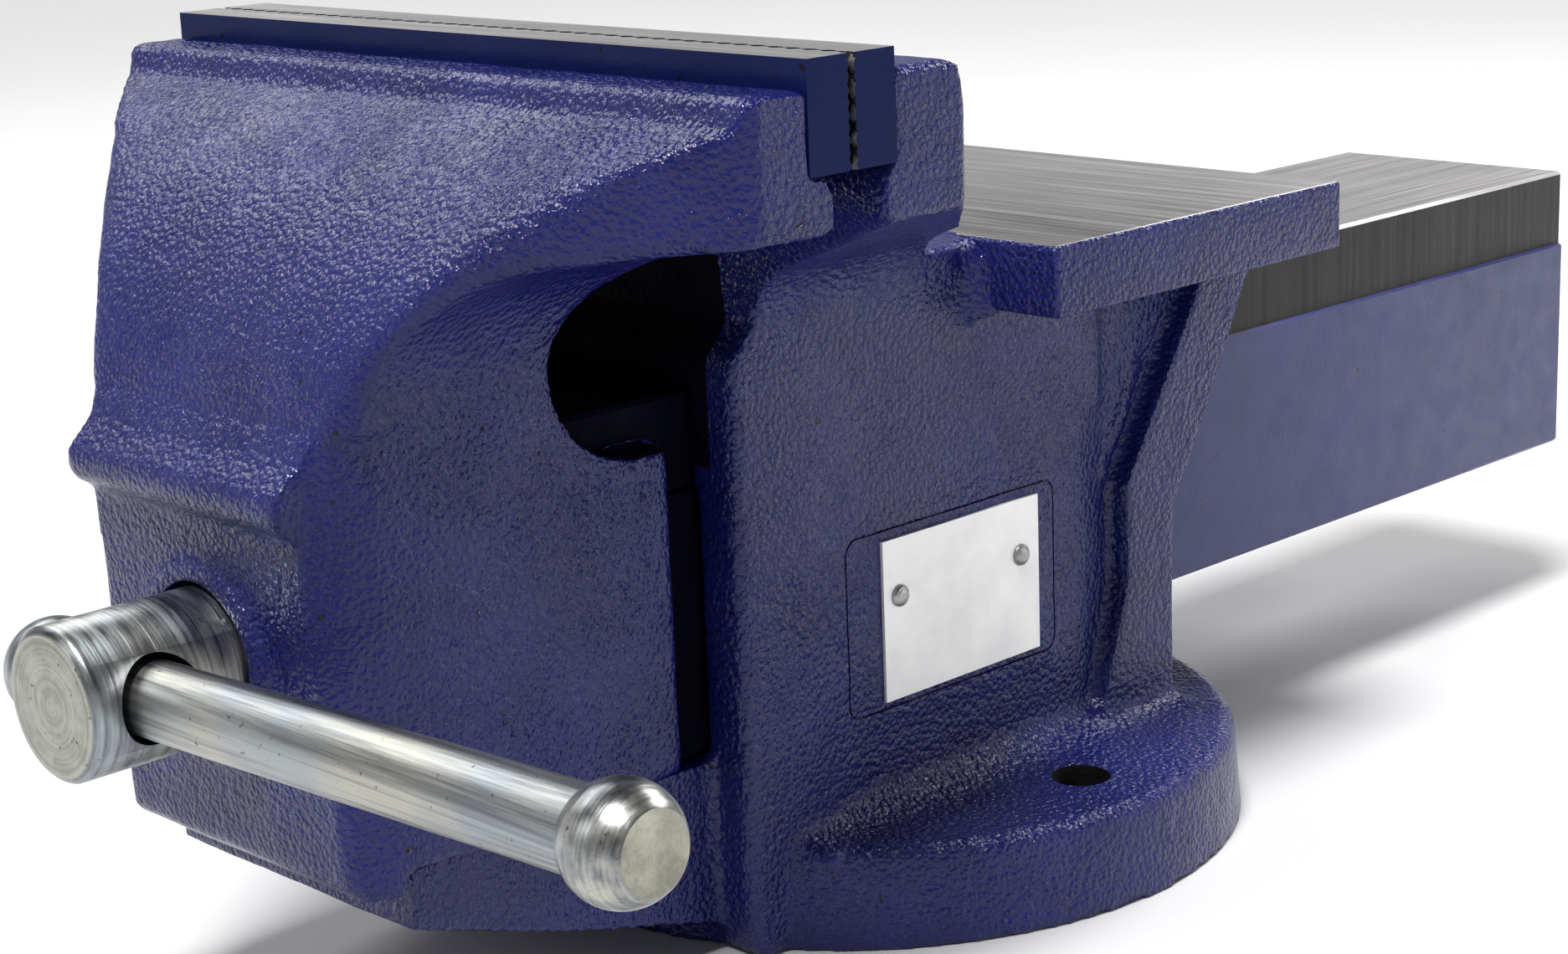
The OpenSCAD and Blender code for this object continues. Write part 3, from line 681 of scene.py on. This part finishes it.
def slide_beam():
    """The box slide: machined top and side bands, painted cast sides, hollow from below."""
    low, band, top = SLIDE_BOTTOM, BAND_BOTTOM, SLIDE_TOP
    corner, step, wall = 0.9 * MM, 0.6 * MM, 9.5 * MM
    inner = SLIDE_HALF - wall
    right = [(CAST_HALF - corner, low), (CAST_HALF, low + corner), (CAST_HALF, band - step),
             (SLIDE_HALF, band), (SLIDE_HALF, top - corner), (SLIDE_HALF - corner, top)]
    left = [(-x, z) for x, z in reversed(right)]
    hollow = [(-inner, low), (-inner, top - wall), (inner, top - wall), (inner, low)]
    beam = prism("slide_beam", right + left + hollow, "Y", SLIDE_FRONT, JAW_HIGH.y)
    with edited(beam) as bm:
        bmesh.ops.bisect_plane(bm, geom=bm.verts[:] + bm.edges[:] + bm.faces[:],
                               plane_co=(0, SLIDE_ROOT, 0), plane_no=(0, 1, 0))
    modify(beam, "BEVEL", width=0.7 * MM, segments=2, limit_method="ANGLE",
           angle_limit=math.radians(60))
    apply_modifiers(beam)
    shade(beam, 40)
    paint(beam, BEAM_BLUE, SLIDE_TOP_STEEL, BAND_STEEL, SHADE_PAINTED_BLUE, rule=slide_material)
    piece(beam, JAW_RIDER, "blue_enamel")


# ---------------------------------------------------------------- jaw plates

def jaw_plate(node, name, facing):
    """A jaw plate with a diamond-serrated face. facing is +1 if the face looks to +Y."""
    low, high = node_box(node)
    face_y, back_y = (high.y, low.y) if facing > 0 else (low.y, high.y)
    step, pitch, depth = 0.5 * MM, 4.6 * MM, 1.1 * MM
    nx, nz = round((high.x - low.x) / step), round((high.z - low.z) / step)
    xs, zs = np.linspace(low.x, high.x, nx + 1), np.linspace(low.z, high.z, nz + 1)
    gx, gz = np.meshgrid(xs, zs)

    def groove(v):
        return np.abs(((v / pitch) % 1.0) - 0.5) * 2

    tooth = np.minimum(groove(gx + gz), groove(gx - gz))
    ys = face_y - facing * depth * (1 - tooth)
    verts = [(x, y, z) for x, y, z in zip(gx.ravel(), ys.ravel(), gz.ravel())]
    count = len(verts)
    row = nx + 1
    faces = [(j * row + i, j * row + i + 1, (j + 1) * row + i + 1, (j + 1) * row + i)
             for j in range(nz) for i in range(nx)]
    rim = ([i for i in range(row)] + [j * row + nx for j in range(1, nz + 1)]
           + [nz * row + i for i in range(nx - 1, -1, -1)] + [j * row for j in range(nz - 1, 0, -1)])
    verts += [(verts[k][0], back_y, verts[k][2]) for k in rim]
    n = len(rim)
    faces += [(rim[k], count + k, count + (k + 1) % n, rim[(k + 1) % n]) for k in range(n)]
    faces.append(tuple(count + k for k in range(n)))
    plate = closed_mesh(name, verts, faces)
    head_r, hole_r = 9.2 * MM, 5.3 * MM
    for side in SIDES:
        x, z = side * PLATE_SCREW_X, PLATE_SCREW_Z
        mouth, throat = face_y + facing * 1 * MM, face_y - facing * 2.2 * MM
        cut(plate, rod("head", (x, mouth, z), (x, throat, z), head_r), solver="EXACT")
        cut(plate, rod("hole", (x, mouth, z), (x, back_y - facing * 1 * MM, z), hole_r),
            solver="EXACT")
    shade(plate, 30)

    def plate_material(centre, normal):
        skin = 0.5 * MM
        if normal.z > 0.9 and centre.z > high.z - skin:
            return GROUND_TOP
        if abs(normal.x) > 0.9 and abs(centre.x) > high.x - skin:
            return SMOOTH_BLUE
        if normal.y * facing < -0.9 and abs(centre.y - back_y) < skin:
            return SMOOTH_BLUE
        return SERRATED_STEEL

    paint(plate, SMOOTH_BLUE, GROUND_TOP, SERRATED_STEEL, rule=plate_material)
    body = BODY_RIDER if facing < 0 else JAW_RIDER
    piece(plate, body, "jaw_steel", node)


# ---------------------------------------------------------------- screw and handle

ALONG_Y = Matrix.Translation((0, 0, SCREW_Z)) @ Matrix.Rotation(-math.pi / 2, 4, "X")
HOLE_Y, HOLE_R = -202.2 * MM, 8.9 * MM
LEAN = math.radians(2.15)
BAR_LOW, BAR_HIGH = node_box("handle_bar")
BAR_R = 7.65 * MM
BAR_Y = (BAR_LOW.y + BAR_HIGH.y) / 2
BALL_R = 10.7 * MM
JOURNAL_R, CORE_R = 14 * MM, 11 * MM
THREAD_FRONT, SHOULDER = -128 * MM, -175.5 * MM


def screw_body():
    """Turned head with its cross hole, the journal and the shank's core."""
    end = SCREW_LOW.y
    r = HEAD_R
    profile = [(0, end + 0.15 * MM), (r - 5 * MM, end + 0.1 * MM), (r - 1.6 * MM, end),
               (r - 1.2 * MM, end + 0.15 * MM), (r - 0.25 * MM, end + 1.1 * MM), (r, end + 1.6 * MM),
               (r, SHOULDER - 0.6 * MM), (r - 0.6 * MM, SHOULDER), (JOURNAL_R, SHOULDER),
               (JOURNAL_R, THREAD_FRONT - 2 * MM), (CORE_R, THREAD_FRONT),
               (CORE_R, SCREW_HIGH.y - 2 * MM), (CORE_R - 2 * MM, SCREW_HIGH.y), (0, SCREW_HIGH.y)]
    screw = lathe("screw_body", profile, 128, ALONG_Y)
    direction = Vector((math.cos(LEAN), 0, math.sin(LEAN)))
    centre = Vector((0, HOLE_Y, SCREW_Z))
    reach = 30 * MM
    cut(screw, rod("hole", centre - direction * reach, centre + direction * reach, HOLE_R),
        solver="EXACT")
    modify(screw, "BEVEL", width=0.35 * MM, segments=2, limit_method="ANGLE",
           angle_limit=math.radians(50))
    apply_modifiers(screw)
    shade(screw, 40)

    def screw_material(centre, normal):
        if normal.y < -0.9 and centre.y < end + 1 * MM:
            return HEAD_FACE
        return THREAD_STEEL if centre.y > SHOULDER + 1 * MM else HEAD_ZINC

    paint(screw, HEAD_ZINC, HEAD_FACE, THREAD_STEEL, rule=screw_material)
    piece(screw, SCREW_RIDER, "zinc_steel", "lead_screw")


def screw_thread():
    """The trapezoidal thread: one helical ridge on the core, fading out at both ends."""
    lead, steps = 6 * MM, 40
    start, end = THREAD_FRONT + 3 * MM, SCREW_HIGH.y - 5 * MM
    total = round((end - start - lead / 2) / lead * steps)
    crest = JOURNAL_R - 0.08 * MM
    foot, half_foot, half_crest = CORE_R - 0.2 * MM, 1.95 * MM, 1.1 * MM
    verts, faces = [], []
    for i in range(total + 1):
        a = 2 * math.pi * i / steps
        y = start + lead * i / steps
        fade = min(1.0, i / (steps / 2), (total - i) / (steps / 2))
        top = CORE_R - 0.1 * MM + (crest - CORE_R) * fade
        section = [(foot, -half_foot), (top, -half_crest), (top, half_crest), (foot, half_foot)]
        for radius, shift in section:
            verts.append((radius * math.cos(a), y + shift, SCREW_Z + radius * math.sin(a)))
    for i in range(total):
        for k in range(4):
            a, b = i * 4 + k, i * 4 + (k + 1) % 4
            faces.append((a, b, b + 4, a + 4))
    faces += [(3, 2, 1, 0), tuple(total * 4 + k for k in range(4))]
    thread = closed_mesh("screw_thread", verts, faces)
    shade(thread, 30)
    paint(thread, THREAD_STEEL)
    piece(thread, SCREW_RIDER, "zinc_steel")


def handle():
    """The bar and its two flat-ended balls, leaning as the bar does."""
    middle_z = (BAR_LOW.z + BAR_HIGH.z) / 2
    middle_x = (BAR_LOW.x + BAR_HIGH.x) / 2
    half = (BAR_HIGH.x - BAR_LOW.x - 2 * BAR_R * math.sin(LEAN)) / 2 / math.cos(LEAN)
    along_bar = (Matrix.Translation((middle_x, BAR_Y, middle_z))
                 @ Matrix.Rotation(math.pi / 2 - LEAN, 4, "Y"))
    rings, sag, waves_per_metre = 60, 0.02 * MM, 190
    profile = [(0, -half)]
    for i in range(rings + 1):
        t = -half + 2 * half * i / rings
        profile.append((BAR_R - sag + sag * math.sin(t * waves_per_metre), t))
    profile.append((0, half))
    bar = lathe("handle_bar_turned", profile, 96, along_bar)
    shade(bar, 40)
    paint(bar, BAR_ZINC)
    piece(bar, HANDLE_RIDER, "zinc_steel", "handle_bar")
    neck = -math.sqrt(BALL_R ** 2 - (BAR_R + 0.6 * MM) ** 2)
    chamfer, flat = 0.655 * BALL_R, 0.74 * BALL_R
    for sign, node in ((-1, "handle_ball_left"), (1, "handle_ball_right")):
        start = math.asin(neck / BALL_R)
        stop = math.asin(chamfer / BALL_R)
        profile = [(BAR_R - 0.3 * MM, neck + 0.3 * MM), (BAR_R + 0.2 * MM, neck)]
        for i in range(33):
            a = start + (stop - start) * i / 32
            profile.append((BALL_R * math.cos(a), BALL_R * math.sin(a)))
        rim = BALL_R * math.cos(stop)
        profile += [(rim - 0.25 * MM, chamfer + 0.35 * MM), (rim - 0.9 * MM, flat),
                    (rim - 1.3 * MM, flat), (rim * 0.4, flat - 0.1 * MM), (0, flat - 0.12 * MM)]
        turn = Matrix.Identity(4) if sign > 0 else Matrix.Rotation(math.pi, 4, "X")
        place = along_bar @ Matrix.Translation((0, 0, sign * half)) @ turn
        ball = lathe(node + "_turned", profile, 96, place)
        shade(ball, 32)
        centre = place @ Vector((0, 0, 0))
        outward = (place.to_3x3() @ Vector((0, 0, 1))).normalized()

        def ball_material(at, normal, centre=centre, outward=outward):
            on_flat = normal.dot(outward) > 0.97 and (at - centre).dot(outward) > flat - 0.3 * MM
            return BALL_FACE if on_flat else BALL_ZINC

        paint(ball, BALL_ZINC, BALL_FACE, rule=ball_material)
        piece(ball, HANDLE_RIDER, "zinc_steel", node)


# ---------------------------------------------------------------- nameplate

def nameplate():
    """A blank thin plate, slightly bowed, with small dents about its rivets."""
    low, high = node_box("nameplate")
    rivets = []
    for node in ("nameplate_rivet_front", "nameplate_rivet_rear"):
        a, b = node_box(node)
        rivets.append(((a.y + b.y) / 2, (a.z + b.z) / 2))
    nx, nz = 90, 64
    ys, zs = np.linspace(low.y, high.y, nx + 1), np.linspace(low.z, high.z, nz + 1)
    gy, gz = np.meshgrid(ys, zs)
    dent, dent_r, bow, waves_y, waves_z = 0.25 * MM, 3.2 * MM, 0.08 * MM, 90, 130
    outer = np.full(gy.shape, high.x)
    for y, z in rivets:
        away = np.hypot(gy - y, gz - z)
        outer -= dent * np.exp(-(away / dent_r) ** 2)
    outer -= bow * (1 + np.sin(gy * waves_y) * np.cos(gz * waves_z)) / 2
    row, count = nx + 1, gy.size
    verts = list(zip(outer.ravel(), gy.ravel(), gz.ravel()))
    verts += [(low.x, y, z) for y, z in zip(gy.ravel(), gz.ravel())]
    faces = []
    for j in range(nz):
        for i in range(nx):
            a, b, c, d = j * row + i, j * row + i + 1, (j + 1) * row + i + 1, (j + 1) * row + i
            faces += [(a, b, c, d), (count + d, count + c, count + b, count + a)]
    for i in range(nx):
        top = nz * row
        faces.append((i + 1, i, count + i, count + i + 1))
        faces.append((top + i, top + i + 1, count + top + i + 1, count + top + i))
    for j in range(nz):
        a, b = j * row, (j + 1) * row
        faces += [(a, b, count + b, count + a), (b + nx, a + nx, count + a + nx, count + b + nx)]
    plate = closed_mesh("nameplate_blank", verts, faces)
    shade(plate, 40)
    paint(plate, PLATE_SILVER)
    piece(plate, BODY_RIDER, "plate_silver", "nameplate")


body_shell()
anvil_table()
moving_jaw_shell()
slide_beam()
jaw_plate("fixed_jaw_plate", "fixed_jaw_plate_serrated", -1)
jaw_plate("moving_jaw_plate", "moving_jaw_plate_serrated", 1)
screw_body()
screw_thread()
handle()
nameplate()

KEPT_NODES = {
    "fixed_plate_screw_left": DARK_STEEL, "fixed_plate_screw_right": DARK_STEEL,
    "moving_plate_screw_left": DARK_STEEL, "moving_plate_screw_right": DARK_STEEL,
    "thrust_washer": WASHER_ZINC, "spring_washer": WASHER_ZINC, "take_up_spring": DARK_STEEL,
    "retaining_pin": DARK_STEEL, "screw_nut": NUT_IRON, "nut_bolt_front": DARK_STEEL,
    "nut_bolt_rear": DARK_STEEL, "nut_lock_washer_front": DARK_STEEL,
    "nut_lock_washer_rear": DARK_STEEL, "nameplate_rivet_front": RIVET_METAL,
    "nameplate_rivet_rear": RIVET_METAL,
}
for node, material in KEPT_NODES.items():
    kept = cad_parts[node]
    kept.data.materials.clear()
    kept.data.materials.append(material)


# ---------------------------------------------------------------- stage, lights and camera

def stage_floor():
    """A pale floor just under the base."""
    half, level = 6, -0.0002
    corners = [(-half, -half, level), (half, -half, level), (half, half, level), (-half, half, level)]
    floor = mesh_from("floor", corners, [(0, 1, 2, 3)])
    s = Shader("floor_paint")
    s.link(s.mix(s.noise(3, 2.0, 0.5), (0.61, 0.61, 0.615, 1), (0.64, 0.64, 0.64, 1)), "Base Color")
    s.set(Roughness=0.7)
    paint(floor, s.material)


def soft_light(name, place, aim, size, power):
    """A soft box of that size in metres and power in watts."""
    data = bpy.data.lights.new(name, "AREA")
    data.shape = "RECTANGLE"
    data.size, data.size_y = size
    data.energy = power
    lamp = link_object(name, data)
    lamp.location = place
    lamp.rotation_euler = (Vector(aim) - Vector(place)).to_track_quat("-Z", "Y").to_euler()


def studio():
    """A pale horizon under a dim ceiling, one broad overhead light and four soft boxes."""
    world = bpy.data.worlds.new("studio")
    bpy.context.scene.world = world
    world.use_nodes = True
    tree = world.node_tree
    back = tree.nodes["Background"]
    place = tree.nodes.new("ShaderNodeTexCoord").outputs["Generated"]
    split = tree.nodes.new("ShaderNodeSeparateXYZ")
    tree.links.new(place, split.inputs["Vector"])
    fade = tree.nodes.new("ShaderNodeMapRange")
    for key, value in {"From Min": 0.12, "From Max": 0.6, "To Min": 0.43, "To Max": 0.06}.items():
        fade.inputs[key].default_value = value
    tree.links.new(split.outputs["Z"], fade.inputs["Value"])
    tree.links.new(fade.outputs["Result"], back.inputs["Strength"])
    back.inputs["Color"].default_value = (0.97, 0.98, 1.0, 1)
    sun = bpy.data.lights.new("overhead", "SUN")
    sun.energy, sun.angle = 4.0, math.radians(17)
    lamp = link_object("overhead", sun)
    lamp.rotation_euler = Vector((-0.12, 0.34, -0.93)).to_track_quat("-Z", "Y").to_euler()
    aim = (0, 0, 0.1)
    soft_light("right", (1.2, 0.85, 0.5), aim, (0.4, 0.5), 3)
    soft_light("front", (-0.5, -1.4, 0.9), aim, (0.4, 0.6), 3)
    soft_light("left", (-1.1, -0.05, 1.1), aim, (1.1, 0.7), 9)
    soft_light("rear", (0.1, 1.2, 1.0), aim, (0.8, 0.5), 11)
    bpy.context.scene.view_settings.view_transform = "Standard"


def photo_camera():
    """The camera solved for the photograph: azimuth and elevation from the aim, then a small roll."""
    azimuth, elevation, roll = (math.radians(a) for a in (45.83, 14.526, -2.253))
    aim, distance = Vector((35.29, -57.27, 99.13)) * MM, 625.0 * MM
    back = Vector((math.sin(azimuth) * math.cos(elevation), -math.cos(azimuth) * math.cos(elevation),
                   math.sin(elevation)))
    right = Vector((math.cos(azimuth), math.sin(azimuth), 0))
    up = back.cross(right)
    side = math.cos(roll) * right + math.sin(roll) * up
    rise = -math.sin(roll) * right + math.cos(roll) * up
    data = bpy.data.cameras.new("photo_camera")
    data.lens, data.sensor_width = 66.79, 36
    data.clip_start = 0.01
    camera = link_object("photo_camera", data)
    turn = Matrix((side, rise, back)).transposed().to_4x4()
    camera.matrix_world = Matrix.Translation(aim + distance * back) @ turn
    bpy.context.scene.camera = camera


stage_floor()
studio()
photo_camera()
